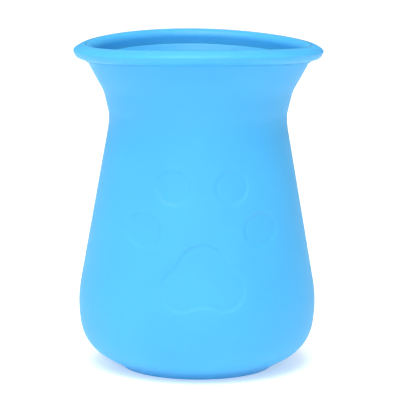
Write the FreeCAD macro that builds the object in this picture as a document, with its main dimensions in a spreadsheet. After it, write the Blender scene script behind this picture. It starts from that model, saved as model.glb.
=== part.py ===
import FreeCAD, Part
import math
import os

import Sketcher

# Paw washer cup: a soft silicone cup with a narrow neck, a flared mouth and a thick
# rolled lip, and inside it a bristle insert that lifts straight out for cleaning.
#
# Frame: millimetres, +Z up along the cup's axis, origin at the centre of the foot's
# underside. The paw print faces -Y.

# Driving dimensions. Radii are measured from the cup's axis and heights from the foot.
SIZES = {
    # outer cup, from the foot upwards: corners of the profile and their roundings
    "foot_radius": 34.6,
    "foot_edge_step": 0.9,
    "foot_edge_height": 0.8,
    "bottom_corner_radius": 52.0,
    "bottom_corner_height": 10.2,
    "bottom_corner_rounding": 20.8,
    "belly_radius": 55.4,
    "belly_height": 30.1,
    "belly_rounding": 57.0,
    "neck_radius": 40.8,
    "neck_low_height": 112.4,
    "neck_low_rounding": 30.0,
    "neck_top_height": 117.2,
    "neck_top_rounding": 9.0,
    "flare_radius": 43.3,
    "flare_height": 128.3,
    "flare_rounding": 17.5,
    "lip_radius": 51.25,
    "lip_height": 143.5,
    "wall": 2.4,
    # shallow recess under the cup that leaves a foot ring
    "foot_ring_width": 3.4,
    "foot_recess": 0.8,
    # thick lip: a crowned bead that slopes in underneath, over a narrow collar
    "bead_inner_radius": 47.8,
    "bead_top_height": 150.0,
    "bead_inner_rounding": 3.5,
    "bead_crown_radius": 53.4,
    "bead_crown_rounding": 7.0,
    "bead_shoulder_radius": 57.3,
    "bead_shoulder_height": 147.5,
    "bead_shoulder_rounding": 1.4,
    "bead_edge_radius": 56.0,
    "bead_edge_height": 144.3,
    "bead_edge_rounding": 3.0,
    "bead_low_height": 142.6,
    "bead_low_rounding": 3.0,
    "collar_radius": 51.5,
    "collar_top_height": 143.15,
    "collar_low_height": 142.3,
    "collar_rounding": 0.3,
    # paw print sunk into the front
    "print_depth": 0.8,
    "print_reach": 60.0,
    "toe_radius": 8.0,
    "inner_toe_side": 13.1,
    "inner_toe_height": 89.0,
    "outer_toe_side": 26.4,
    "outer_toe_height": 69.8,
    "pad_top_height": 52.8,
    "pad_top_radius": 12.1,
    "pad_lobe_side": 9.6,
    "pad_lobe_height": 44.3,
    "pad_lobe_radius": 10.0,
    "pad_flank_radius": 12.0,
    "pad_notch_radius": 14.0,
    # bristle insert: a sleeve with a floor, hung from a flange seated in the flare
    "slip_gap": 0.4,
    "insert_wall": 1.8,
    "insert_base_height": 8.5,
    "insert_floor": 2.0,
    "flange_radius": 43.1,
    "flange_height": 134.0,
    "flange_bend_radius": 40.3,
    "slot_width": 4.0,
    "slot_low_height": 13.5,
    "slot_high_height": 18.5,
    "drain_radius": 2.2,
    "drain_inner_ring": 12.0,
    "drain_outer_ring": 30.5,
    # bristles on the sleeve's inner wall
    "bristle_length": 13.0,
    "bristle_root_radius": 1.6,
    "bristle_tip_radius": 0.95,
    "bristle_embed": 1.0,
    "first_bristle_height": 23.0,
    "bristle_pitch": 9.0,
    # short nubs on the insert's floor
    "nub_height": 4.5,
    "nub_root_radius": 1.5,
    "nub_tip_radius": 1.0,
    "nub_ring_step": 8.0,
}

BRISTLE_RINGS = 11
BRISTLES_PER_RING = 24
SLOT_COUNT = 12
NUB_COUNTS = (6, 12, 18)
# Each ring of drain holes: the size that is its radius, and how many holes it has.
DRAIN_RINGS = (("drain_inner_ring", 6), ("drain_outer_ring", 12))

# How a sketch constraint names its own origin and axes, and the points of a curve.
ORIGIN = -1
HORIZONTAL_AXIS = -1
VERTICAL_AXIS = -2
START = 1
END = 2
CENTRE = 3

FULL_TURN = 2.0 * math.pi
SAME_PLACE = 0.01

doc = FreeCAD.newDocument("PawWasherCup")


# ---------------------------------------------------------------- sizes

def make_sheet():
    """Write the driving dimensions into a spreadsheet, one named cell each."""
    sheet = doc.addObject("Spreadsheet::Sheet", "sizes")
    for row, (alias, value) in enumerate(SIZES.items(), start=1):
        sheet.set(f"A{row}", alias)
        sheet.set(f"B{row}", str(value))
        sheet.setAlias(f"B{row}", alias)
    doc.recompute()


def value_of(size):
    """Value of a sum of named sizes, such as "neck_radius - wall"."""
    total = 0.0
    sign = 1.0
    for word in size.split():
        if word in ("+", "-"):
            sign = 1.0 if word == "+" else -1.0
        else:
            total += sign * SIZES[word]
    return total


def cell(size):
    """The same sum written with the spreadsheet's cells."""
    words = [word if word in ("+", "-") else "sizes." + word for word in size.split()]
    return " ".join(words)


# ---------------------------------------------------------------- sketch helpers

def new_body(name):
    """An empty body whose features may be several separate solids."""
    body = doc.addObject("PartDesign::Body", name)
    body.Label = name
    body.AllowCompound = True
    return body


def origin_plane(body, role):
    """The body's own origin plane or axis with this role."""
    for feature in body.Origin.OriginFeatures:
        if feature.Role == role:
            return feature
    raise ValueError(role)


def new_sketch(body, name, role="XZ_Plane"):
    """A sketch on one of the body's origin planes."""
    sketch = body.newObject("Sketcher::SketchObject", name)
    sketch.AttachmentSupport = [(origin_plane(body, role), "")]
    sketch.MapMode = "FlatFace"
    return sketch


def bind(sketch, constraint, size):
    """Add a dimension and tie it to a sum of spreadsheet cells."""
    index = sketch.addConstraint(constraint)
    sketch.setExpression(f"Constraints[{index}]", cell(size))


def hold_point(sketch, geometry, point, across, up):
    """Hold a point at the named sizes; an empty size puts it on that axis."""
    if across:
        bind(sketch, Sketcher.Constraint("DistanceX", ORIGIN, START, geometry, point,
                                         value_of(across)), across)
    else:
        sketch.addConstraint(Sketcher.Constraint("PointOnObject", geometry, point, VERTICAL_AXIS))
    if up:
        bind(sketch, Sketcher.Constraint("DistanceY", ORIGIN, START, geometry, point,
                                         value_of(up)), up)
    else:
        sketch.addConstraint(Sketcher.Constraint("PointOnObject", geometry, point, HORIZONTAL_AXIS))


def outline(sketch, corners):
    """Draw a closed outline through corners given as (size across, size up)."""
    points = [FreeCAD.Vector(value_of(across), value_of(up), 0) for across, up in corners]
    count = len(points)
    for index in range(count):
        following = points[(index + 1) % count]
        sketch.addGeometry(Part.LineSegment(points[index], following), False)
    for index in range(count):
        following = (index + 1) % count
        sketch.addConstraint(Sketcher.Constraint("Coincident", index, END, following, START))
    for index, (across, up) in enumerate(corners):
        hold_point(sketch, index, START, across, up)


def revolve(body, sketch, name, axis=None):
    """Turn a sketch all the way round the cup's axis, unless another axis is given."""
    feature = body.newObject("PartDesign::Revolution", name)
    feature.Profile = sketch
    feature.ReferenceAxis = axis or (sketch, ["V_Axis"])
    feature.Angle = 360.0
    return feature


def pattern_round_z(body, originals, name, count):
    """Repeat features evenly round the cup's axis."""
    feature = body.newObject("PartDesign::PolarPattern", name)
    feature.Originals = originals
    feature.Axis = (origin_plane(body, "Z_Axis"), [""])
    feature.Angle = 360.0
    feature.Occurrences = count
    body.Tip = feature
    return feature


def ring_edges(shape, radius, height):
    """Names of the circular edges of this radius at this height."""
    names = []
    for index, edge in enumerate(shape.Edges, start=1):
        if not isinstance(edge.Curve, Part.Circle):
            continue
        same_radius = abs(edge.Curve.Radius - radius) < SAME_PLACE
        same_height = abs(edge.Curve.Center.z - height) < SAME_PLACE
        if same_radius and same_height:
            names.append(f"Edge{index}")
    return names


def round_ring(body, name, across, up, rounding):
    """Round the circular edge at the named radius and height."""
    doc.recompute()
    base = body.Tip
    feature = body.newObject("PartDesign::Fillet", name)
    feature.Base = (base, ring_edges(base.Shape, value_of(across), value_of(up)))
    feature.setExpression("Radius", cell(rounding))
    return feature


# ---------------------------------------------------------------- outer cup

def make_cup_shell(name, thickness):
    """The cup's outside turned about its axis and hollowed to the named thickness."""
    body = new_body(name)
    sketch = new_sketch(body, name + "_profile")
    outline(sketch, [
        ("", ""),
        ("foot_radius", ""),
        ("foot_radius + foot_edge_step", "foot_edge_height"),
        ("bottom_corner_radius", "bottom_corner_height"),
        ("belly_radius", "belly_height"),
        ("neck_radius", "neck_low_height"),
        ("neck_radius", "neck_top_height"),
        ("flare_radius", "flare_height"),
        ("lip_radius", "lip_height"),
        ("", "lip_height"),
    ])
    revolve(body, sketch, name + "_turned")
    round_ring(body, name + "_bottom_round", "bottom_corner_radius", "bottom_corner_height",
               "bottom_corner_rounding")
    round_ring(body, name + "_belly_round", "belly_radius", "belly_height", "belly_rounding")
    round_ring(body, name + "_neck_round", "neck_radius", "neck_low_height", "neck_low_rounding")
    round_ring(body, name + "_throat_round", "neck_radius", "neck_top_height", "neck_top_rounding")
    round_ring(body, name + "_flare_round", "flare_radius", "flare_height", "flare_rounding")
    doc.recompute()

    solid = body.Tip
    top = max(range(len(solid.Shape.Faces)), key=lambda i: solid.Shape.Faces[i].CenterOfMass.z)
    hollow = body.newObject("PartDesign::Thickness", name + "_hollow")
    hollow.Base = (solid, [f"Face{top + 1}"])
    hollow.Reversed = True
    hollow.Join = "Intersection"
    hollow.setExpression("Value", cell(thickness))
    doc.recompute()
    return body


def sink_foot(body):
    """Recess the underside so that the cup stands on a ring."""
    sketch = new_sketch(body, "foot_recess_circle", "XY_Plane")
    radius = "foot_radius - foot_ring_width"
    sketch.addGeometry(Part.Circle(FreeCAD.Vector(0, 0, 0), FreeCAD.Vector(0, 0, 1),
                                   value_of(radius)), False)
    sketch.addConstraint(Sketcher.Constraint("Coincident", 0, CENTRE, ORIGIN, START))
    bind(sketch, Sketcher.Constraint("Radius", 0, value_of(radius)), radius)
    recess = body.newObject("PartDesign::Pocket", "foot_recess_pocket")
    recess.Profile = sketch
    recess.Reversed = True
    recess.setExpression("Length", cell("foot_recess"))
    doc.recompute()


def add_circle(sketch, across, up, radius, side):
    """A circle at the named sizes; side is 1 for +X and -1 for its mirror image."""
    centre = FreeCAD.Vector(side * value_of(across), value_of(up), 0)
    index = sketch.addGeometry(Part.Circle(centre, FreeCAD.Vector(0, 0, 1), value_of(radius)), False)
    bind_centre(sketch, index, across, up, side)
    bind(sketch, Sketcher.Constraint("Radius", index, value_of(radius)), radius)


def bind_centre(sketch, index, across, up, side):
    """Tie a curve's centre to the named sizes, mirrored where side is -1."""
    if side > 0:
        hold_point(sketch, index, CENTRE, across, up)
        return
    bind(sketch, Sketcher.Constraint("DistanceX", index, CENTRE, ORIGIN, START,
                                     value_of(across)), across)
    bind(sketch, Sketcher.Constraint("DistanceY", ORIGIN, START, index, CENTRE,
                                     value_of(up)), up)


def touching_centre(first, first_radius, second, second_radius, radius):
    """Centre of the circle that touches two others outside, on the right of first to second."""
    span = second - first
    near = first_radius + radius
    far = second_radius + radius
    along = (near ** 2 - far ** 2 + span.Length ** 2) / (2.0 * span.Length)
    beside = math.sqrt(near ** 2 - along ** 2)
    direction = FreeCAD.Vector(span).normalize()
    right = FreeCAD.Vector(direction.y, -direction.x, 0)
    return first + direction * along + right * beside


def arc_through(centre, radius, start, end):
    """Arc from start to end anticlockwise about a centre."""
    from_angle = math.atan2(start.y - centre.y, start.x - centre.x)
    to_angle = math.atan2(end.y - centre.y, end.x - centre.x)
    if to_angle < from_angle:
        to_angle += FULL_TURN
    circle = Part.Circle(centre, FreeCAD.Vector(0, 0, 1), radius)
    return Part.ArcOfCircle(circle, from_angle, to_angle)


def draw_pad(sketch):
    """The paw's main pad: a round top and two lobes, joined by hollow arcs that touch them."""
    top = FreeCAD.Vector(0, value_of("pad_top_height"), 0)
    left = FreeCAD.Vector(-value_of("pad_lobe_side"), value_of("pad_lobe_height"), 0)
    right = FreeCAD.Vector(value_of("pad_lobe_side"), value_of("pad_lobe_height"), 0)
    # The three round ends, anticlockwise, and the hollow arc that follows each.
    ends = [(top, "pad_top_radius"), (left, "pad_lobe_radius"), (right, "pad_lobe_radius")]
    hollows = ["pad_flank_radius", "pad_notch_radius", "pad_flank_radius"]
    centres = []
    for index, hollow in enumerate(hollows):
        centre, radius = ends[index]
        next_centre, next_radius = ends[(index + 1) % 3]
        centres.append(touching_centre(centre, value_of(radius), next_centre,
                                       value_of(next_radius), value_of(hollow)))
    arcs = []
    for index, (centre, radius) in enumerate(ends):
        size = value_of(radius)
        start = centre + (centres[index - 1] - centre).normalize() * size
        end = centre + (centres[index] - centre).normalize() * size
        arcs.append(sketch.addGeometry(arc_through(centre, size, start, end), False))
        next_centre, next_radius = ends[(index + 1) % 3]
        far = next_centre + (centres[index] - next_centre).normalize() * value_of(next_radius)
        hollow = arc_through(centres[index], value_of(hollows[index]), far, end)
        arcs.append(sketch.addGeometry(hollow, False))
    for index in range(3):
        round_end = arcs[2 * index]
        hollow = arcs[2 * index + 1]
        next_end = arcs[(2 * index + 2) % 6]
        sketch.addConstraint(Sketcher.Constraint("Tangent", round_end, END, hollow, END))
        sketch.addConstraint(Sketcher.Constraint("Tangent", hollow, START, next_end, START))
        radius = ends[index][1]
        bind(sketch, Sketcher.Constraint("Radius", round_end, value_of(radius)), radius)
        bind(sketch, Sketcher.Constraint("Radius", hollow, value_of(hollows[index])),
             hollows[index])
    hold_point(sketch, arcs[0], CENTRE, "", "pad_top_height")
    bind_centre(sketch, arcs[2], "pad_lobe_side", "pad_lobe_height", -1)
    bind_centre(sketch, arcs[4], "pad_lobe_side", "pad_lobe_height", 1)


def make_paw_prism():
    """The paw's outline carried straight through the front wall."""
    body = new_body("paw_prism")
    sketch = new_sketch(body, "paw_outline")
    for side in (-1, 1):
        add_circle(sketch, "inner_toe_side", "inner_toe_height", "toe_radius", side)
        add_circle(sketch, "outer_toe_side", "outer_toe_height", "toe_radius", side)
    draw_pad(sketch)
    pad = body.newObject("PartDesign::Pad", "paw_pad")
    pad.Profile = sketch
    pad.setExpression("Length", cell("print_reach"))
    doc.recompute()
    return body


def make_rim_bead():
    """The thick lip round the mouth: a crowned bead, round inside, over a narrow collar."""
    body = new_body("rim_bead")
    sketch = new_sketch(body, "bead_section")
    outline(sketch, [
        ("bead_inner_radius", "bead_low_height"),
        ("collar_radius", "collar_low_height"),
        ("collar_radius", "collar_top_height"),
        ("bead_edge_radius", "bead_edge_height"),
        ("bead_shoulder_radius", "bead_shoulder_height"),
        ("bead_crown_radius", "bead_top_height"),
        ("bead_inner_radius", "bead_top_height"),
    ])
    revolve(body, sketch, "bead_turned")
    round_ring(body, "bead_inner_round", "bead_inner_radius", "bead_top_height",
               "bead_inner_rounding")
    round_ring(body, "bead_low_round", "bead_inner_radius", "bead_low_height",
               "bead_low_rounding")
    round_ring(body, "bead_crown_round", "bead_crown_radius", "bead_top_height",
               "bead_crown_rounding")
    round_ring(body, "bead_shoulder_round", "bead_shoulder_radius", "bead_shoulder_height",
               "bead_shoulder_rounding")
    round_ring(body, "bead_edge_round", "bead_edge_radius", "bead_edge_height",
               "bead_edge_rounding")
    round_ring(body, "collar_top_round", "collar_radius", "collar_top_height", "collar_rounding")
    round_ring(body, "collar_low_round", "collar_radius", "collar_low_height", "collar_rounding")
    doc.recompute()
    return body


def boolean(kind, name, base, tool):
    """A Part boolean of two objects."""
    result = doc.addObject(kind, name)
    result.Label = name
    result.Base = base
    result.Tool = tool
    return result


def make_outer_cup(bead):
    """The cup: its wall ends against the bead, and the paw print is sunk into it."""
    shell = make_cup_shell("cup_shell", "wall")
    sink_foot(shell)
    skin = make_cup_shell("print_skin", "print_depth")
    print_cut = doc.addObject("Part::Common", "print_cut")
    print_cut.Base = make_paw_prism()
    print_cut.Tool = skin
    trimmed = boolean("Part::Cut", "cup_trimmed", shell, bead)
    return boolean("Part::Cut", "outer_cup", trimmed, print_cut)


# ---------------------------------------------------------------- bristle insert

def make_insert_sleeve():
    """Sleeve, floor and flange in one wall, with slots and drain holes for the water."""
    body = new_body("insert_sleeve")
    sketch = new_sketch(body, "sleeve_section")
    outside = "neck_radius - wall - slip_gap"
    inside = outside + " - insert_wall"
    floor_top = "insert_base_height + insert_floor"
    outline(sketch, [
        ("", "insert_base_height"),
        (outside, "insert_base_height"),
        (outside, "neck_top_height"),
        ("flange_bend_radius", "flare_height"),
        ("flange_radius", "flange_height"),
        ("flange_radius - insert_wall", "flange_height"),
        ("flange_bend_radius - insert_wall", "flare_height"),
        (inside, "neck_top_height"),
        (inside, floor_top),
        ("", floor_top),
    ])
    revolve(body, sketch, "sleeve_turned")
    doc.recompute()
    cut_slots(body)
    cut_drains(body)
    return body


def cut_slots(body):
    """Upright slots just above the floor let the water through the sleeve."""
    sketch = new_sketch(body, "slot_outline", "YZ_Plane")
    half = value_of("slot_width") / 2.0
    low = value_of("slot_low_height")
    high = value_of("slot_high_height")
    bottom = FreeCAD.Vector(0, low, 0)
    top = FreeCAD.Vector(0, high, 0)
    side = FreeCAD.Vector(half, 0, 0)
    geometry = [
        Part.LineSegment(bottom + side, top + side),
        arc_through(top, half, top + side, top - side),
        Part.LineSegment(top - side, bottom - side),
        arc_through(bottom, half, bottom - side, bottom + side),
    ]
    for curve in geometry:
        sketch.addGeometry(curve, False)
    for index in range(4):
        following = (index + 1) % 4
        sketch.addConstraint(Sketcher.Constraint("Tangent", index, END, following, START))
    hold_point(sketch, 1, CENTRE, "", "slot_high_height")
    hold_point(sketch, 3, CENTRE, "", "slot_low_height")
    width = sketch.addConstraint(Sketcher.Constraint("Radius", 1, half))
    sketch.setExpression(f"Constraints[{width}]", cell("slot_width") + " / 2")
    slot = body.newObject("PartDesign::Pocket", "slot_cut")
    slot.Profile = sketch
    slot.Reversed = True
    slot.setExpression("Length", cell("neck_radius"))
    pattern_round_z(body, [slot], "slot_pattern", SLOT_COUNT)
    doc.recompute()


def cut_drains(body):
    """Rings of drain holes through the floor."""
    for ring, (ring_radius, count) in enumerate(DRAIN_RINGS, start=1):
        sketch = new_sketch(body, f"drain_circle_{ring}", "XY_Plane")
        centre = FreeCAD.Vector(value_of(ring_radius), 0, 0)
        sketch.addGeometry(Part.Circle(centre, FreeCAD.Vector(0, 0, 1), value_of("drain_radius")),
                           False)
        hold_point(sketch, 0, CENTRE, ring_radius, "")
        bind(sketch, Sketcher.Constraint("Radius", 0, value_of("drain_radius")), "drain_radius")
        drain = body.newObject("PartDesign::Pocket", f"drain_{ring}")
        drain.Profile = sketch
        drain.Reversed = True
        drain.setExpression("Length", cell("insert_base_height + insert_floor + insert_floor"))
        pattern_round_z(body, [drain], f"drain_pattern_{ring}", count)
        doc.recompute()


def draw_pin(sketch, corners, dome):
    """Half section of a tapered pin with a domed tip.

    The corners are the tip, the root's middle, the root's edge and the shoulder where the
    dome starts; dome is the dome's centre. Each is a (size across, size up) pair.
    """
    points = [FreeCAD.Vector(value_of(across), value_of(up), 0) for across, up in corners]
    for first, second in zip(points, points[1:]):
        sketch.addGeometry(Part.LineSegment(first, second), False)
    middle = FreeCAD.Vector(value_of(dome[0]), value_of(dome[1]), 0)
    tip = points[0]
    shoulder = points[-1]
    sketch.addGeometry(arc_through(middle, (tip - middle).Length, shoulder, tip), False)
    for index, (across, up) in enumerate(corners):
        following = (index + 1) % len(corners)
        sketch.addConstraint(Sketcher.Constraint("Coincident", index, END, following, START))
        hold_point(sketch, index, START, across, up)
    dome_arc = len(corners) - 1
    sketch.addConstraint(Sketcher.Constraint("PointOnObject", dome_arc, CENTRE, 0))


def make_bristle_ring(index):
    """One ring of bristles pointing at the axis, their roots cut to the sleeve's inside."""
    name = f"bristle_ring_{index + 1:02d}"
    body = new_body(name)
    sketch = new_sketch(body, name + "_section")
    inside = "neck_radius - wall - slip_gap - insert_wall"
    root = inside + " + bristle_embed"
    tip = inside + " - bristle_length"
    shoulder = tip + " + bristle_tip_radius"
    corners = [(tip, ""), (root, ""), (root, "bristle_root_radius"),
               (shoulder, "bristle_tip_radius")]
    draw_pin(sketch, corners, (shoulder, ""))
    pin = revolve(body, sketch, name + "_pin", (sketch, ["H_Axis"]))
    pattern_round_z(body, [pin], name + "_round", BRISTLES_PER_RING)
    doc.recompute()
    trim_roots(body, name, inside)

    height = f"{cell('first_bristle_height')} + {index} * {cell('bristle_pitch')}"
    half_step = 180.0 / BRISTLES_PER_RING
    turn = half_step * (index % 2)
    lift = value_of("first_bristle_height") + index * value_of("bristle_pitch")
    body.Placement = FreeCAD.Placement(
        FreeCAD.Vector(0, 0, lift), FreeCAD.Rotation(FreeCAD.Vector(0, 0, 1), turn))
    body.setExpression("Placement.Base.z", height)
    return body


def trim_roots(body, name, inside):
    """Cut away what stands outside the sleeve's inner wall."""
    sketch = new_sketch(body, name + "_trim", "XY_Plane")
    centre = FreeCAD.Vector(0, 0, 0)
    upward = FreeCAD.Vector(0, 0, 1)
    beyond = inside + " + bristle_length"
    for radius in (inside, beyond):
        circle = sketch.addGeometry(Part.Circle(centre, upward, value_of(radius)), False)
        sketch.addConstraint(Sketcher.Constraint("Coincident", circle, CENTRE, ORIGIN, START))
        bind(sketch, Sketcher.Constraint("Radius", circle, value_of(radius)), radius)
    trim = body.newObject("PartDesign::Pocket", name + "_trimmed")
    trim.Profile = sketch
    trim.SideType = "Symmetric"
    trim.setExpression("Length", cell("bristle_length"))
    body.Tip = trim
    doc.recompute()


def make_floor_nubs():
    """Short nubs on the insert's floor: one in the middle and rings round it."""
    body = new_body("floor_nubs")
    add_nub(body, "nub_middle", 0)
    for ring, count in enumerate(NUB_COUNTS, start=1):
        nub = add_nub(body, f"nub_{ring}", ring)
        pattern_round_z(body, [nub], f"nub_pattern_{ring}", count)
        doc.recompute()
    return body


def add_nub(body, name, ring):
    """One nub on the numbered ring: a frustum with a domed top."""
    sketch = new_sketch(body, name + "_section")
    steps = ["nub_ring_step"] * ring
    axis = " + ".join(steps)
    root_edge = " + ".join(steps + ["nub_root_radius"])
    shoulder_edge = " + ".join(steps + ["nub_tip_radius"])
    base = "insert_base_height + insert_floor"
    top = base + " + nub_height"
    shoulder = top + " - nub_tip_radius"
    corners = [(axis, top), (axis, base), (root_edge, base), (shoulder_edge, shoulder)]
    draw_pin(sketch, corners, (axis, shoulder))
    feature = revolve(body, sketch, name, (sketch, ["Edge1"]))
    doc.recompute()
    return feature


# ---------------------------------------------------------------- build and write

def check_document():
    """Stop if any object failed to build."""
    for item in doc.Objects:
        bad = [state for state in item.State if state in ("Invalid", "Error")]
        if bad:
            raise RuntimeError(f"{item.Name}: {bad}")


def write(part):
    """Check one sub-part's shape and write it under its label."""
    shape = part.Shape
    if shape.isNull() or not shape.isValid():
        raise RuntimeError(f"{part.Label}: bad shape")
    shape.exportStep(os.path.join("parts", part.Label + ".step"))
    box = shape.BoundBox
    print(f"{part.Label:18s} solids {len(shape.Solids):3d} volume {shape.Volume:10.1f} "
          f"z {box.ZMin:7.2f} {box.ZMax:7.2f} r {box.XMax:6.2f}")


def main():
    make_sheet()
    rim_bead = make_rim_bead()
    parts = [rim_bead, make_outer_cup(rim_bead), make_insert_sleeve(), make_floor_nubs()]
    for index in range(BRISTLE_RINGS):
        parts.append(make_bristle_ring(index))
    doc.recompute()
    check_document()
    os.makedirs("parts", exist_ok=True)
    for part in parts:
        write(part)


main()
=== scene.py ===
import math
import random

import bmesh
import bpy
import numpy as np
from mathutils import Matrix, Vector


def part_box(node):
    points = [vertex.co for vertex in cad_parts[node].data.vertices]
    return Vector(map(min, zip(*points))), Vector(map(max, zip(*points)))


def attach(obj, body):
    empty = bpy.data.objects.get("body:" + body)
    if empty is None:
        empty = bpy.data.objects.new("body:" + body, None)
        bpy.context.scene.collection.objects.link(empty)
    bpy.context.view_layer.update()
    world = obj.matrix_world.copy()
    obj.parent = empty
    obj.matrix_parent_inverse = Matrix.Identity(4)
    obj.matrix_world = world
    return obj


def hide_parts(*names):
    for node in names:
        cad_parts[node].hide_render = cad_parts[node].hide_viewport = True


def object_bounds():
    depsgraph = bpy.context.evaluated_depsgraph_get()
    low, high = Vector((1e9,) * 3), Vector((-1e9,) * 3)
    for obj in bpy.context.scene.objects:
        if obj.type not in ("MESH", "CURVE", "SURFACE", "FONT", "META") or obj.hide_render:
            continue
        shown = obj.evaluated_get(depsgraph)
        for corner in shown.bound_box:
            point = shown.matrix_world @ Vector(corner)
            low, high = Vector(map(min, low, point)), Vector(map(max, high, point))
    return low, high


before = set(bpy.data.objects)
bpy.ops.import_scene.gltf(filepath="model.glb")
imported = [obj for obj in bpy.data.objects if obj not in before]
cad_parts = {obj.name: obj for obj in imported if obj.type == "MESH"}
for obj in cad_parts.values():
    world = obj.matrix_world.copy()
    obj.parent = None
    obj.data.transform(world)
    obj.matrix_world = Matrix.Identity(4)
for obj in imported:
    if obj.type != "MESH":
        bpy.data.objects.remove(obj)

CAD_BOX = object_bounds()

# Paw washer cup in soft silicone. Metres, +Z up along the cup's axis, -Y is the front.
MM = 0.001

# Outer profile of the cup: corners as (radius, height, rounding) in millimetres.
NECK_RADIUS = 40.8
NECK_TOP = 117.2
FLARE_HEIGHT = 128.3
OUTSIDE = (
    (35.5, 0.8, 1.2),
    (52.0, 10.2, 20.8),
    (55.4, 30.1, 57.0),
    (NECK_RADIUS, 112.4, 30.0),
    (NECK_RADIUS, NECK_TOP, 9.0),
    (43.3, FLARE_HEIGHT, 17.5),
    (51.04, 143.1, 0.0),
)
WALL = 2.4
FOOT_OUTER = 34.6
FOOT_INNER = 31.2
FOOT_RECESS = 0.8
FOOT_CHAMFER = 0.4
FOOT_ROUNDING = 0.35
FOOT_SPREAD = 0.25
FOOT_EDGE = 0.5
INSIDE_FLOOR_ROUNDING = 6.0
# Inside this radius the flat underside and the flat inside floor are closed by a fan.
FAN_RADIUS = 6.0
SMALLEST_ROUNDING = 0.3

# Section of the thick lip: a crowned bead that slopes in underneath, over a narrow collar.
COLLAR_RADIUS = 51.5
LIP_TOP = 150.0
LIP_START = (51.0, 142.35, 0.0)
LIP = (
    LIP_START,
    (COLLAR_RADIUS, 142.3, 0.3),
    (COLLAR_RADIUS, 143.15, 0.3),
    (56.0, 144.3, 3.0),
    (57.3, 147.5, 1.4),
    (53.4, LIP_TOP, 7.0),
    (47.8, LIP_TOP, 3.5),
    (48.4, 142.6, 0.6),
    LIP_START,
)
LIP_COLUMNS = 360
LIP_STEP = 0.35
# The mouth isn't quite flat: its front and back stand higher than its sides.
FRONT_RISE = 1.0
SIDE_DROP = 1.28
SADDLE_TURN = math.radians(4.5)
SADDLE_FROM = 117.0
SADDLE_TO = 141.0
# A faint moulding line runs round the lip's shoulder.
SEAM_HEIGHT = 147.2
SEAM_RIDGE = 0.14
SEAM_WIDTH = 0.22
SEAM_INNER_RADIUS = 55.0

# Paw print: toes as (across, height) of one side, the pad's circles as (across, height, radius).
PRINT_DEPTH = 0.7
PRINT_WALL = 2.0
TOE_RADIUS = 8.0
TOES = ((13.1, 89.0), (26.4, 69.8))
PAD_TOP = (0.0, 52.8, 12.1)
PAD_LOBE = (9.6, 44.3, 10.0)
PAD_FLANK = 12.0
PAD_NOTCH = 14.0
ARC_POINTS = 40
# The print lies between these heights and this far either side of the middle.
PRINT_LOW = 28.0
PRINT_HIGH = 104.0
PRINT_REACH = 40.0
# The cup's mesh is finer where the print is.
FINE_LOW = 30.0
FINE_HIGH = 100.0
FINE_STEP = 0.5
COARSE_STEP = 1.1
INSIDE_STEP = 2.2
FINE_COLUMNS = 260
COARSE_COLUMNS = 240

# Bristle insert.
SLEEVE_OUTER = 38.0
SLEEVE_WALL = 1.8
SLEEVE_INNER = SLEEVE_OUTER - SLEEVE_WALL
SLEEVE_BASE = 8.5
SLEEVE_FLOOR = 2.0
FLOOR_TOP = SLEEVE_BASE + SLEEVE_FLOOR
SLEEVE_BEND = 40.3
FLANGE_RADIUS = 43.1
FLANGE_HEIGHT = 134.0
SLEEVE_EDGE = 0.8
SLEEVE_COLUMNS = 144
SLEEVE_STEP = 2.0
SLOTS = 12
SLOT_HALF_WIDTH = 2.0
SLOT_ENDS = (13.5, 18.5)
SLOT_MIDDLE = sum(SLOT_ENDS) / 2
SLOT_HALF_STRAIGHT = (SLOT_ENDS[1] - SLOT_ENDS[0]) / 2
DRAIN_RADIUS = 2.2
DRAIN_RINGS = ((12.0, 6), (30.5, 12))
HOLE_MARGIN = 0.9
HOLE_SIDES = 8
EDGE_SOFTNESS = 0.35
BRISTLES_PER_RING = 24
BRISTLE_RINGS = 11
BRISTLE_LENGTH = 13.0
BRISTLE_ROOT = 1.6
BRISTLE_TIP = 0.95
BRISTLE_FOOT = 0.7
BRISTLE_LEAN = 0.02
NUB_COUNTS = (1, 6, 12, 18)
NUB_STEP = 8.0
NUB_HEIGHT = 4.5
NUB_ROOT = 1.5
NUB_TIP = 1.0
NUB_FOOT = 0.5
NUB_LEAN = 0.01
PIN_SIDES = 14
PIN_EMBED = 0.5
WELD = 0.004

# Look: blue silicone. The reach is how far light travels under the surface of a piece.
BLUE = (0.047, 0.36, 0.69)
DULL_TINT = 0.97
BRIGHT_TINT = 1.02
SPECULAR = 0.40
SUBSURFACE = 0.5
CUP_REACH = 2.2 * MM
LIP_REACH = 6.0 * MM
INSERT_REACH = 4.0 * MM
REACH_BY_COLOUR = (0.25, 0.7, 1.0)
CUP_ROUGHNESS = 0.55
LIP_ROUGHNESS = 0.50
BRISTLE_ROUGHNESS = 0.45
ROUGHNESS_SPREAD = (-0.05, 0.06)
TINT_SCALE = 38.0
GLOSS_SCALE = 90.0
GRAIN_SCALE = 2600.0
GRAIN_STRENGTH = 0.12
GRAIN_DEPTH = 0.06 * MM
WAVE_SCALE = 28.0
WAVE_STRENGTH = 0.5
WAVE_DEPTH = 0.2 * MM
FLOOR_GREYS = (0.93, 0.95)
SEED = 7

# Studio: a white surround that is brighter towards the front and left.
WORLD_LIGHT = 0.67
WORLD_SWING = 0.56
BRIGHT_SIDE = math.radians(20)
BRIGHT_HEIGHT = math.radians(20)
KEY_PLACE = (-0.9, -1.2, 1.3)
KEY_SIZE = 1.2
KEY_POWER = 2.0
TOP_PLACE = (-0.1, -0.5, 1.1)
TOP_SIZE = 0.8
TOP_POWER = 11.5
FLOOR_GLOW = 0.33
FLOOR_GAP = 0.05 * MM
FLOOR_SIZE = 30.0

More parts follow.
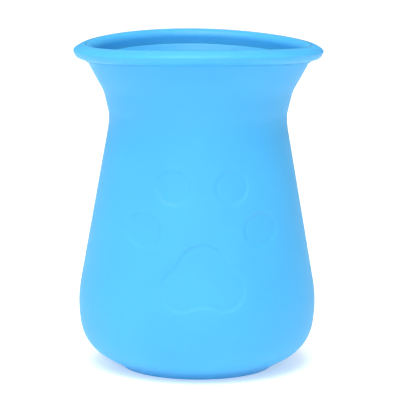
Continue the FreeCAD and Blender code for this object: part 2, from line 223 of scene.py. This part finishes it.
# Camera, aimed at a point on the axis; its lens is given in widths of its sensor.
VIEW_TARGET = 0.0728
VIEW_DISTANCE = 1.131
VIEW_ELEVATION = math.radians(9.5)
VIEW_AZIMUTH = math.radians(2.9)
VIEW_ROLL = math.radians(0.34)
SENSOR = 36.0
LENS_WIDTHS = 6.135
SHIFT = (0.00625, 0.0202)


# ---------------------------------------------------------------- curves

def unit(vector):
    """The vector's direction, with length 1."""
    return vector / np.linalg.norm(vector)


def evenly(size):
    """A step that is the same at every height."""
    return lambda height: size


def rounded_path(corners, step):
    """Points along straight runs joined by tangent arcs, at most a step apart.

    Each corner is (radius, height, rounding); step is a function of height.
    """
    points = [np.array(corners[0][:2])]

    def run_to(end):
        """Straight run from the last point."""
        start = points[-1]
        length = np.linalg.norm(end - start)
        count = max(1, int(math.ceil(length / step((start[1] + end[1]) / 2))))
        for index in range(1, count + 1):
            points.append(start + (end - start) * index / count)

    for before, corner, after in zip(corners, corners[1:], corners[2:]):
        here = np.array(corner[:2])
        back = unit(np.array(before[:2]) - here)
        ahead = unit(np.array(after[:2]) - here)
        half = math.acos(max(-1.0, min(1.0, float(back @ ahead)))) / 2
        rounding = corner[2]
        if rounding <= 0 or half > math.pi / 2 - 1e-4:
            run_to(here)
            continue
        reach = rounding / math.tan(half)
        centre = here + unit(back + ahead) * rounding / math.sin(half)
        start = here + back * reach
        end = here + ahead * reach
        run_to(start)
        from_angle = math.atan2(*(start - centre)[::-1])
        to_angle = math.atan2(*(end - centre)[::-1])
        turn = (to_angle - from_angle + math.pi) % (2 * math.pi) - math.pi
        count = max(4, int(math.ceil(abs(turn) * rounding / step(here[1]))))
        for index in range(1, count + 1):
            angle = from_angle + turn * index / count
            points.append(centre + rounding * np.array([math.cos(angle), math.sin(angle)]))
    run_to(np.array(corners[-1][:2]))
    return np.array(points)


def offset_corners(corners, distance):
    """The same profile moved towards the axis by a wall's thickness."""
    moved = []
    for index, corner in enumerate(corners):
        here = np.array(corner[:2])
        normals = []
        for other, sign in ((index - 1, 1), (index + 1, -1)):
            if 0 <= other < len(corners):
                along = unit((here - np.array(corners[other][:2])) * sign)
                normals.append(np.array([-along[1], along[0]]))
        if len(normals) == 1:
            shift = normals[0]
            bend = 0.0
        else:
            shift = (normals[0] + normals[1]) / (1 + normals[0] @ normals[1])
            bend = normals[0][0] * normals[1][1] - normals[0][1] * normals[1][0]
        rounding = corner[2]
        if rounding > 0:
            rounding = max(SMALLEST_ROUNDING, rounding - math.copysign(distance, bend))
        moved.append((*(here + shift * distance), rounding))
    return moved


# ---------------------------------------------------------------- paw print

def touching_centre(first, first_radius, second, second_radius, radius):
    """Centre of the circle touching two others outside, on the right of first to second."""
    span = second - first
    length = np.linalg.norm(span)
    near = first_radius + radius
    far = second_radius + radius
    along = (near ** 2 - far ** 2 + length ** 2) / (2 * length)
    beside = math.sqrt(near ** 2 - along ** 2)
    direction = span / length
    return first + direction * along + np.array([direction[1], -direction[0]]) * beside


def arc_points(centre, radius, start, end, clockwise):
    """Points of an arc about a centre, end point left out."""
    from_angle = math.atan2(*(start - centre)[::-1])
    to_angle = math.atan2(*(end - centre)[::-1])
    turn = (to_angle - from_angle) % (2 * math.pi)
    if clockwise:
        turn -= 2 * math.pi
    angles = from_angle + turn * np.arange(ARC_POINTS) / ARC_POINTS
    return centre + radius * np.stack([np.cos(angles), np.sin(angles)], axis=1)


def pad_outline():
    """Closed outline of the paw's main pad: round top, two lobes and hollows between."""
    ends = [
        (np.array(PAD_TOP[:2]), PAD_TOP[2]),
        (np.array([-PAD_LOBE[0], PAD_LOBE[1]]), PAD_LOBE[2]),
        (np.array([PAD_LOBE[0], PAD_LOBE[1]]), PAD_LOBE[2]),
    ]
    hollows = (PAD_FLANK, PAD_NOTCH, PAD_FLANK)
    centres = []
    for index, hollow in enumerate(hollows):
        after = ends[(index + 1) % 3]
        centres.append(touching_centre(*ends[index], *after, hollow))
    outline = []
    for index, (centre, radius) in enumerate(ends):
        start = centre + unit(centres[index - 1] - centre) * radius
        end = centre + unit(centres[index] - centre) * radius
        outline.append(arc_points(centre, radius, start, end, False))
        after, after_radius = ends[(index + 1) % 3]
        far = after + unit(centres[index] - after) * after_radius
        outline.append(arc_points(centres[index], hollows[index], end, far, True))
    return np.concatenate(outline)


def outline_distance(points, outline):
    """Signed distance of points to a closed outline, negative inside."""
    nearest = np.full(len(points), np.inf)
    inside = np.zeros(len(points), bool)
    for start, end in zip(outline, np.roll(outline, -1, axis=0)):
        along = end - start
        share = np.clip(((points - start) @ along) / (along @ along), 0, 1)
        gap = points - (start + share[:, None] * along)
        nearest = np.minimum(nearest, np.hypot(gap[:, 0], gap[:, 1]))
        crosses = (start[1] > points[:, 1]) != (end[1] > points[:, 1])
        if start[1] != end[1]:
            meets = start[0] + (points[:, 1] - start[1]) * along[0] / along[1]
            inside ^= crosses & (points[:, 0] < meets)
    return np.where(inside, -nearest, nearest)


def ease(share):
    """A share from 0 to 1 that starts and ends gently."""
    return share * share * (3 - 2 * share)


def print_depth(across, height):
    """How far the paw print sinks each point of the front wall, in millimetres."""
    points = np.stack([across, height], axis=1)
    distance = outline_distance(points, pad_outline())
    for side in (-1, 1):
        for toe_across, toe_height in TOES:
            toe = np.hypot(across - side * toe_across, height - toe_height) - TOE_RADIUS
            distance = np.minimum(distance, toe)
    share = np.clip(0.5 - (distance + 0.25 * PRINT_WALL) / PRINT_WALL, 0, 1)
    return PRINT_DEPTH * ease(share)


# ---------------------------------------------------------------- meshes

def saddle(angle, height):
    """Rise of the mouth, growing from the neck up to the lip."""
    share = np.clip((height - SADDLE_FROM) / (SADDLE_TO - SADDLE_FROM), 0, 1)
    middle = (FRONT_RISE - SIDE_DROP) / 2
    swing = (FRONT_RISE + SIDE_DROP) / 2
    rise = middle - swing * np.cos(2 * (angle - SADDLE_TURN))
    return rise * ease(share)


def make_object(name, vertices, faces, material):
    """A smooth-shaded mesh object; vertices are in millimetres."""
    mesh = bpy.data.meshes.new(name)
    mesh.from_pydata([tuple(v) for v in np.asarray(vertices) * MM], [], faces)
    mesh.polygons.foreach_set("use_smooth", [True] * len(mesh.polygons))
    mesh.validate()
    mesh.materials.append(material)
    piece = bpy.data.objects.new(name, mesh)
    bpy.context.scene.collection.objects.link(piece)
    return piece


def grid_faces(rows, columns, close_rows=False):
    """Quads of a grid that closes on itself round the axis."""
    faces = []
    last = rows if close_rows else rows - 1
    for row in range(last):
        here = row * columns
        above = ((row + 1) % rows) * columns
        for column in range(columns):
            nxt = (column + 1) % columns
            faces.append((here + column, here + nxt, above + nxt, above + column))
    return faces


def front_weighted_angles():
    """Angles round the axis, closer together across the paw print."""
    fine = np.radians(np.linspace(-150, -30, FINE_COLUMNS, endpoint=False))
    coarse = np.radians(np.linspace(-30, 210, COARSE_COLUMNS, endpoint=False))
    return np.concatenate([fine, coarse])


def step_on_cup(height):
    """Step along the cup's outside: finer where the paw print is."""
    return FINE_STEP if FINE_LOW < height < FINE_HIGH else COARSE_STEP


def cup_section():
    """Outside and inside outlines of the cup's wall, from the underside up and back down."""
    foot = [
        (FAN_RADIUS, FOOT_RECESS, 0.0),
        (FOOT_INNER, FOOT_RECESS, FOOT_ROUNDING),
        (FOOT_INNER + FOOT_CHAMFER, 0.0, FOOT_ROUNDING),
        (FOOT_OUTER + FOOT_SPREAD, 0.0, FOOT_EDGE),
    ]
    outside = rounded_path(foot + list(OUTSIDE), step_on_cup)
    floor = [(FAN_RADIUS, WALL, 0.0), (FOOT_OUTER, WALL, INSIDE_FLOOR_ROUNDING)]
    inside = rounded_path(floor + offset_corners(OUTSIDE, WALL)[1:], evenly(INSIDE_STEP))
    return outside, inside[::-1]


def make_cup(material):
    """The cup: one wall turned about the axis, with the paw print pressed into it."""
    angles = front_weighted_angles()
    columns = len(angles)
    outside, inside = cup_section()
    section = np.concatenate([outside, inside])
    radius = np.repeat(section[:, 0], columns)
    height = np.repeat(section[:, 1], columns)
    angle = np.tile(angles, len(section))
    across = radius * np.cos(angle)
    near_print = np.arange(len(radius)) < len(outside) * columns
    near_print &= (np.sin(angle) < 0) & (np.abs(across) < PRINT_REACH)
    near_print &= (height > PRINT_LOW) & (height < PRINT_HIGH)
    radius[near_print] -= print_depth(across[near_print], height[near_print])
    height = height + saddle(angle, height)
    vertices = np.stack([radius * np.cos(angle), radius * np.sin(angle), height], axis=1)
    faces = grid_faces(len(section), columns)
    # Close the underside and the inside floor with a fan about the axis.
    low = len(vertices)
    vertices = np.vstack([vertices, [[0, 0, FOOT_RECESS], [0, 0, WALL]]])
    last = (len(section) - 1) * columns
    for column in range(columns):
        nxt = (column + 1) % columns
        faces.append((nxt, column, low))
        faces.append((last + column, last + nxt, low + 1))
    return make_object("cup_body", vertices, faces, material)


def make_lip(material):
    """The thick lip with its faint moulding line."""
    section = rounded_path(LIP, evenly(LIP_STEP))[:-1]
    outside = section[:, 0] > SEAM_INNER_RADIUS
    ridge = SEAM_RIDGE * np.exp(-((section[:, 1] - SEAM_HEIGHT) / SEAM_WIDTH) ** 2)
    section[:, 0] += np.where(outside, ridge, 0.0)
    angles = np.arange(LIP_COLUMNS) * 2 * math.pi / LIP_COLUMNS
    radius = np.repeat(section[:, 0], LIP_COLUMNS)
    height = np.repeat(section[:, 1], LIP_COLUMNS)
    angle = np.tile(angles, len(section))
    height = height + saddle(angle, height)
    vertices = np.stack([radius * np.cos(angle), radius * np.sin(angle), height], axis=1)
    faces = grid_faces(len(section), LIP_COLUMNS, close_rows=True)
    return make_object("rolled_lip", vertices, faces, material)


# ---------------------------------------------------------------- insert

def slot_reach(across, along, half_width, half_straight):
    """Distance from a slot's middle to its edge in a direction (across, along)."""
    across = abs(across)
    along = abs(along)
    if across > 1e-9 and half_width / across * along <= half_straight:
        return half_width / across
    # The direction meets the round end: a circle centred half_straight along.
    middle = half_straight * along
    return middle + math.sqrt(max(0.0, middle ** 2 - half_straight ** 2 + half_width ** 2))


class Shell:
    """Vertices and faces collected from several patches, in millimetres."""

    def __init__(self):
        self.vertices = []
        self.faces = []

    def add_loops(self, loops):
        """Quads between successive closed loops of equally many points."""
        first = len(self.vertices)
        count = len(loops[0])
        for loop in loops:
            self.vertices.extend(loop)
        for row in range(len(loops) - 1):
            here = first + row * count
            above = here + count
            for column in range(count):
                nxt = (column + 1) % count
                self.faces.append((here + column, here + nxt, above + nxt, above + column))

    def add_fan(self, loop, centre):
        """Triangles from a loop to a point."""
        first = len(self.vertices)
        self.vertices.extend(loop)
        self.vertices.append(centre)
        for column in range(len(loop)):
            nxt = (column + 1) % len(loop)
            self.faces.append((first + column, first + nxt, first + len(loop)))

    def weld(self, name, material):
        """One mesh object with the patches' shared edges joined and its faces turned outwards."""
        piece = make_object(name, self.vertices, self.faces, material)
        work = bmesh.new()
        work.from_mesh(piece.data)
        bmesh.ops.remove_doubles(work, verts=work.verts, dist=WELD * MM)
        bmesh.ops.recalc_face_normals(work, faces=work.faces)
        work.to_mesh(piece.data)
        work.free()
        return piece


def turned(section):
    """Loops of a section turned about the axis."""
    angles = np.arange(SLEEVE_COLUMNS) * 2 * math.pi / SLEEVE_COLUMNS
    return [[(radius * math.cos(a), radius * math.sin(a), height) for a in angles]
            for radius, height in section]


def sector_edge(low, high, columns):
    """Points as (angle, size) round one hole's sector of a ring, and half the sector's angle."""
    step = 2 * math.pi / SLEEVE_COLUMNS
    half = columns * step / 2
    rise = (high - low) / HOLE_SIDES
    edge = [(-half + index * step, low) for index in range(columns)]
    edge += [(half, low + rise * index) for index in range(HOLE_SIDES)]
    edge += [(half - index * step, high) for index in range(columns)]
    edge += [(-half, high - rise * index) for index in range(HOLE_SIDES)]
    return edge, half


def add_holed_ring(shell, place, thickness, low, high, holes, middle, half_width, half_straight,
                   to_polar):
    """A ring between two sizes with holes spaced evenly round it, through both faces.

    place(angle, size, depth) gives a point; depth runs from 0 on the near face to 1 on the
    far one. to_polar(across, along) turns offsets from a hole's middle into (angle, size).
    """
    edge, half = sector_edge(low, high, SLEEVE_COLUMNS // holes)
    scale = (high - low) / 2 / half
    soft = EDGE_SOFTNESS
    # Each hole loop: how far it is grown, and its depth in millimetres from the nearer face.
    mouth = [(soft, 0.0), (0.3 * soft, 0.3 * soft), (0.0, soft)]
    depths = [(grow, depth / thickness) for grow, depth in mouth]
    depths += [(grow, 1 - depth / thickness) for grow, depth in reversed(mouth)]
    for hole in range(holes):
        turn = hole * 2 * math.pi / holes

        def loop(grow, depth, share=1.0):
            """One loop, a share of the way from the sector's edge to the hole's."""
            points = []
            for angle, size in edge:
                across = angle * scale
                along = size - middle
                length = math.hypot(across, along)
                reach = slot_reach(across / length, along / length, half_width + grow,
                                   half_straight)
                hole_angle, hole_size = to_polar(across / length * reach, along / length * reach)
                at_angle = angle + (hole_angle - angle) * share
                at_size = size + (hole_size - size) * share
                points.append(place(turn + at_angle, at_size, depth))
            return points

        loops = [loop(soft, 0.0, 0.0), loop(soft, 0.0, 0.6)]
        loops += [loop(grow, depth) for grow, depth in depths]
        loops += [loop(soft, 1.0, 0.6), loop(soft, 1.0, 0.0)]
        shell.add_loops(loops)


def wall_point(angle, height, depth):
    """A point of the sleeve's wall; depth runs from its outside to its inside."""
    radius = SLEEVE_OUTER - SLEEVE_WALL * depth
    return (radius * math.cos(angle), radius * math.sin(angle), height)


def floor_point(angle, radius, depth):
    """A point of the sleeve's floor; depth runs from its top to its underside."""
    height = FLOOR_TOP - SLEEVE_FLOOR * depth
    return (radius * math.cos(angle), radius * math.sin(angle), height)


def add_sleeve_wall(shell, slot_low, slot_high):
    """The wall above the slots, with its flange, and the slotted band."""
    upper = rounded_path([
        (SLEEVE_OUTER, slot_high, 0.0),
        (SLEEVE_OUTER, NECK_TOP, 9.0),
        (SLEEVE_BEND, FLARE_HEIGHT, 20.0),
        (FLANGE_RADIUS, FLANGE_HEIGHT, SLEEVE_EDGE),
        (FLANGE_RADIUS - SLEEVE_WALL, FLANGE_HEIGHT, SLEEVE_EDGE),
        (SLEEVE_BEND - SLEEVE_WALL, FLARE_HEIGHT, 22.0),
        (SLEEVE_INNER, NECK_TOP, 10.0),
        (SLEEVE_INNER, slot_high, 0.0),
    ], evenly(SLEEVE_STEP))
    shell.add_loops(turned(upper))
    add_holed_ring(shell, wall_point, SLEEVE_WALL, slot_low, slot_high, SLOTS,
                   SLOT_MIDDLE, SLOT_HALF_WIDTH, SLOT_HALF_STRAIGHT,
                   lambda across, along: (across / SLEEVE_OUTER, SLOT_MIDDLE + along))


def add_sleeve_corner(shell, slot_low, floor_edge):
    """The corner between wall and floor, outside and inside."""
    lower_outside = [
        (SLEEVE_OUTER, slot_low, 0.0),
        (SLEEVE_OUTER, SLEEVE_BASE, SLEEVE_EDGE),
        (floor_edge, SLEEVE_BASE, 0.0),
    ]
    lower_inside = [
        (SLEEVE_INNER, slot_low, 0.0),
        (SLEEVE_INNER, FLOOR_TOP, 0.05),
        (floor_edge, FLOOR_TOP, 0.0),
    ]
    for corners in (lower_outside, lower_inside):
        shell.add_loops(turned(rounded_path(corners, evenly(SLEEVE_STEP))))


def add_sleeve_floor(shell, rings):
    """The floor: rings as (radius, holes, inner edge, outer edge) and what lies between them."""
    for radius, count, low, high in rings:
        def to_polar(across, along, radius=radius):
            return math.atan2(across, radius + along), math.hypot(across, radius + along)

        add_holed_ring(shell, floor_point, SLEEVE_FLOOR, low, high, count,
                       radius, DRAIN_RADIUS, 0.0, to_polar)
    core = rings[0][2]
    gap_from = rings[0][3]
    gap_to = rings[1][2]
    for height in (SLEEVE_BASE, FLOOR_TOP):
        between = [(gap_from + (gap_to - gap_from) * share, height)
                   for share in (0, 0.33, 0.67, 1)]
        shell.add_loops(turned(between))
        loops = turned([(core, height), (core * 0.5, height)])
        shell.add_loops(loops)
        shell.add_fan(loops[-1], (0, 0, height))


def make_sleeve(material):
    """The insert's wall, floor and flange, with slots and drain holes."""
    shell = Shell()
    slot_low = SLOT_ENDS[0] - SLOT_HALF_WIDTH - HOLE_MARGIN
    slot_high = SLOT_ENDS[1] + SLOT_HALF_WIDTH + HOLE_MARGIN
    drain_half = DRAIN_RADIUS + HOLE_MARGIN
    rings = [(radius, count, radius - drain_half, radius + drain_half)
             for radius, count in DRAIN_RINGS]
    add_sleeve_wall(shell, slot_low, slot_high)
    add_sleeve_corner(shell, slot_low, rings[-1][3])
    add_sleeve_floor(shell, rings)
    return shell.weld("sleeve", material)


def pin_section(length, root, tip, foot):
    """Points (along, radius) of a tapered pin with a flared foot and a domed tip."""
    # Foot: embedded end, then a small concave fillet; body; dome.
    section = [
        (-PIN_EMBED, root + foot),
        (0.0, root + foot),
        (0.25 * foot, root + 0.45 * foot),
        (foot, root),
    ]
    shoulder = length - tip
    for share in (0.3, 0.6, 1.0):
        along = foot + (shoulder - foot) * share
        section.append((along, root + (tip - root) * share))
    for turn in (0.35, 0.7, 1.05, 1.35):
        section.append((shoulder + tip * math.sin(turn), tip * math.cos(turn)))
    return section


def add_pin(shell, base, direction, length, root, tip, foot):
    """One bristle or nub, turned about its own direction."""
    base = np.array(base)
    direction = unit(np.array(direction, float))
    sideways = (0.0, 0.0, 1.0) if abs(direction[2]) < 0.9 else (1.0, 0.0, 0.0)
    aside = unit(np.cross(direction, sideways))
    other = np.cross(direction, aside)
    angles = np.arange(PIN_SIDES) * 2 * math.pi / PIN_SIDES
    loops = []
    for along, radius in pin_section(length, root, tip, foot):
        centre = base + direction * along
        loops.append([centre + radius * (math.cos(a) * aside + math.sin(a) * other)
                      for a in angles])
    shell.add_loops(loops)
    shell.add_fan(loops[-1], base + direction * length)
    shell.add_fan(loops[0], base - direction * PIN_EMBED)


def make_bristle_ring(number, material, chance):
    """One ring of bristles, each leaning a little its own way."""
    node = f"bristle_ring_{number:02d}"
    low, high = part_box(node)
    height = (low.z + high.z) / 2 / MM
    shell = Shell()
    half_step = math.pi / BRISTLES_PER_RING
    for index in range(BRISTLES_PER_RING):
        angle = (2 * index + (number - 1) % 2) * half_step
        lean = chance.gauss(0, BRISTLE_LEAN)
        droop = chance.gauss(-BRISTLE_LEAN, BRISTLE_LEAN)
        outward = np.array([math.cos(angle), math.sin(angle), 0.0])
        aside = np.array([-math.sin(angle), math.cos(angle), 0.0])
        direction = -outward + lean * aside + np.array([0, 0, droop])
        base = outward * SLEEVE_INNER + np.array([0, 0, height])
        add_pin(shell, base, direction, BRISTLE_LENGTH, BRISTLE_ROOT, BRISTLE_TIP, BRISTLE_FOOT)
    piece = shell.weld(f"bristles_{number:02d}", material)
    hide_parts(node)
    return piece


def make_nubs(material, chance):
    """Short nubs on the insert's floor."""
    shell = Shell()
    for ring, count in enumerate(NUB_COUNTS):
        for index in range(count):
            angle = 2 * math.pi * index / count
            radius = ring * NUB_STEP
            base = (radius * math.cos(angle), radius * math.sin(angle), FLOOR_TOP)
            direction = (chance.gauss(0, NUB_LEAN), chance.gauss(0, NUB_LEAN), 1)
            add_pin(shell, base, direction, NUB_HEIGHT, NUB_ROOT, NUB_TIP, NUB_FOOT)
    piece = shell.weld("nubs", material)
    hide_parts("floor_nubs")
    return piece


# ---------------------------------------------------------------- materials

def silicone(name, colour, roughness, reach):
    """Matte moulded silicone: fine mould grain, slow waviness and slightly uneven colour."""
    material = bpy.data.materials.new(name)
    material.use_nodes = True
    nodes = material.node_tree.nodes
    links = material.node_tree.links
    shader = nodes["Principled BSDF"]
    shader.inputs["Specular IOR Level"].default_value = SPECULAR
    shader.inputs["Subsurface Weight"].default_value = SUBSURFACE
    shader.inputs["Subsurface Scale"].default_value = reach
    shader.inputs["Subsurface Radius"].default_value = REACH_BY_COLOUR

    where = nodes.new("ShaderNodeTexCoord")

    def noise(scale, detail):
        node = nodes.new("ShaderNodeTexNoise")
        node.inputs["Scale"].default_value = scale
        node.inputs["Detail"].default_value = detail
        links.new(where.outputs["Object"], node.inputs["Vector"])
        return node.outputs["Fac"]

    tint = nodes.new("ShaderNodeValToRGB")
    tint.color_ramp.elements[0].position = 0.30
    tint.color_ramp.elements[1].position = 0.72
    tint.color_ramp.elements[0].color = (*[c * DULL_TINT for c in colour], 1)
    tint.color_ramp.elements[1].color = (*[c * BRIGHT_TINT for c in colour], 1)
    links.new(noise(TINT_SCALE, 4.0), tint.inputs["Fac"])
    links.new(tint.outputs["Color"], shader.inputs["Base Color"])

    gloss = nodes.new("ShaderNodeMapRange")
    gloss.inputs["To Min"].default_value = roughness + ROUGHNESS_SPREAD[0]
    gloss.inputs["To Max"].default_value = roughness + ROUGHNESS_SPREAD[1]
    links.new(noise(GLOSS_SCALE, 3.0), gloss.inputs["Value"])
    links.new(gloss.outputs["Result"], shader.inputs["Roughness"])

    fine = nodes.new("ShaderNodeBump")
    fine.inputs["Strength"].default_value = GRAIN_STRENGTH
    fine.inputs["Distance"].default_value = GRAIN_DEPTH
    links.new(noise(GRAIN_SCALE, 2.0), fine.inputs["Height"])
    slow = nodes.new("ShaderNodeBump")
    slow.inputs["Strength"].default_value = WAVE_STRENGTH
    slow.inputs["Distance"].default_value = WAVE_DEPTH
    links.new(noise(WAVE_SCALE, 1.0), slow.inputs["Height"])
    links.new(fine.outputs["Normal"], slow.inputs["Normal"])
    links.new(slow.outputs["Normal"], shader.inputs["Normal"])
    return material


def floor_material():
    """Pale lit acrylic floor with a very faint mottle."""
    material = bpy.data.materials.new("floor")
    material.use_nodes = True
    nodes = material.node_tree.nodes
    links = material.node_tree.links
    shader = nodes["Principled BSDF"]
    shader.inputs["Roughness"].default_value = 0.9
    shader.inputs["Specular IOR Level"].default_value = 0.0
    shader.inputs["Emission Color"].default_value = (1, 1, 1, 1)
    shader.inputs["Emission Strength"].default_value = FLOOR_GLOW
    noise = nodes.new("ShaderNodeTexNoise")
    noise.inputs["Scale"].default_value = 6.0
    ramp = nodes.new("ShaderNodeValToRGB")
    for stop, grey in zip(ramp.color_ramp.elements, FLOOR_GREYS):
        stop.color = (grey, grey, grey, 1)
    links.new(noise.outputs["Fac"], ramp.inputs["Fac"])
    links.new(ramp.outputs["Color"], shader.inputs["Base Color"])
    return material


# ---------------------------------------------------------------- stage

def area_light(name, place, target, size, power):
    """A soft square white light aimed at a point."""
    light = bpy.data.lights.new(name, "AREA")
    light.shape = "SQUARE"
    light.size = size
    light.energy = power
    lamp = bpy.data.objects.new(name, light)
    lamp.location = place
    lamp.rotation_euler = (Vector(target) - Vector(place)).to_track_quat("-Z", "Y").to_euler()
    bpy.context.scene.collection.objects.link(lamp)


def make_surround():
    """White world that lights the object more from one side but looks even to the camera."""
    world = bpy.data.worlds.new("studio")
    world.use_nodes = True
    nodes = world.node_tree.nodes
    links = world.node_tree.links
    where = nodes.new("ShaderNodeTexCoord")
    toward = nodes.new("ShaderNodeVectorMath")
    toward.operation = "DOT_PRODUCT"
    level = math.cos(BRIGHT_HEIGHT)
    toward.inputs[1].default_value = (-math.sin(BRIGHT_SIDE) * level,
                                      -math.cos(BRIGHT_SIDE) * level,
                                      math.sin(BRIGHT_HEIGHT))
    links.new(where.outputs["Generated"], toward.inputs[0])
    swing = nodes.new("ShaderNodeMath")
    swing.operation = "MULTIPLY_ADD"
    swing.inputs[1].default_value = WORLD_SWING
    swing.inputs[2].default_value = WORLD_LIGHT
    links.new(toward.outputs["Value"], swing.inputs[0])
    path = nodes.new("ShaderNodeLightPath")
    seen = nodes.new("ShaderNodeMix")
    seen.inputs["B"].default_value = 1.0
    links.new(path.outputs["Is Camera Ray"], seen.inputs["Factor"])
    links.new(swing.outputs["Value"], seen.inputs["A"])
    links.new(seen.outputs["Result"], nodes["Background"].inputs["Strength"])
    nodes["Background"].inputs["Color"].default_value = (1, 1, 1, 1)
    bpy.context.scene.world = world


def make_stage():
    """Floor, pale surroundings and two soft lights."""
    bpy.context.scene.view_settings.view_transform = "Standard"
    make_surround()

    bpy.ops.mesh.primitive_grid_add(x_subdivisions=4, y_subdivisions=4, size=FLOOR_SIZE,
                                    location=(0, 0, -FLOOR_GAP))
    floor = bpy.context.active_object
    floor.name = "floor"
    floor.data.materials.append(floor_material())

    middle = (0, 0, CAD_BOX[1][2] / 2)
    area_light("key", KEY_PLACE, middle, KEY_SIZE, KEY_POWER)
    area_light("top", TOP_PLACE, middle, TOP_SIZE, TOP_POWER)


def make_camera():
    """Camera a little above the cup and slightly to the left of its front."""
    camera_data = bpy.data.cameras.new("camera")
    camera_data.lens = SENSOR * LENS_WIDTHS
    camera_data.sensor_width = SENSOR
    camera_data.shift_x = SHIFT[0]
    camera_data.shift_y = SHIFT[1]
    camera_data.clip_start = 0.05
    camera_data.clip_end = 60.0
    camera = bpy.data.objects.new("camera", camera_data)
    level = VIEW_DISTANCE * math.cos(VIEW_ELEVATION)
    target = Vector((0, 0, VIEW_TARGET))
    place = target + Vector((-level * math.sin(VIEW_AZIMUTH), -level * math.cos(VIEW_AZIMUTH),
                             VIEW_DISTANCE * math.sin(VIEW_ELEVATION)))
    aim = (target - place).to_track_quat("-Z", "Y").to_matrix().to_4x4()
    aim = aim @ Matrix.Rotation(VIEW_ROLL, 4, "Z")
    camera.matrix_world = Matrix.Translation(place) @ aim
    bpy.context.scene.collection.objects.link(camera)
    bpy.context.scene.camera = camera


def main():
    chance = random.Random(SEED)
    cup_blue = silicone("cup_silicone", BLUE, CUP_ROUGHNESS, CUP_REACH)
    lip_blue = silicone("lip_silicone", BLUE, LIP_ROUGHNESS, LIP_REACH)
    insert_blue = silicone("insert_silicone", BLUE, CUP_ROUGHNESS, INSERT_REACH)
    bristle_blue = silicone("bristle_silicone", BLUE, BRISTLE_ROUGHNESS, CUP_REACH)

    cup = make_cup(cup_blue)
    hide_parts("outer_cup")
    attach(cup, "cup")
    lip = make_lip(lip_blue)
    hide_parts("rim_bead")
    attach(lip, "cup")

    sleeve = make_sleeve(insert_blue)
    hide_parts("insert_sleeve")
    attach(sleeve, "bristle_insert")
    soft = [make_nubs(bristle_blue, chance)]
    for number in range(1, BRISTLE_RINGS + 1):
        soft.append(make_bristle_ring(number, bristle_blue, chance))
    for piece in soft:
        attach(piece, "bristle_insert")

    make_stage()
    make_camera()


main()
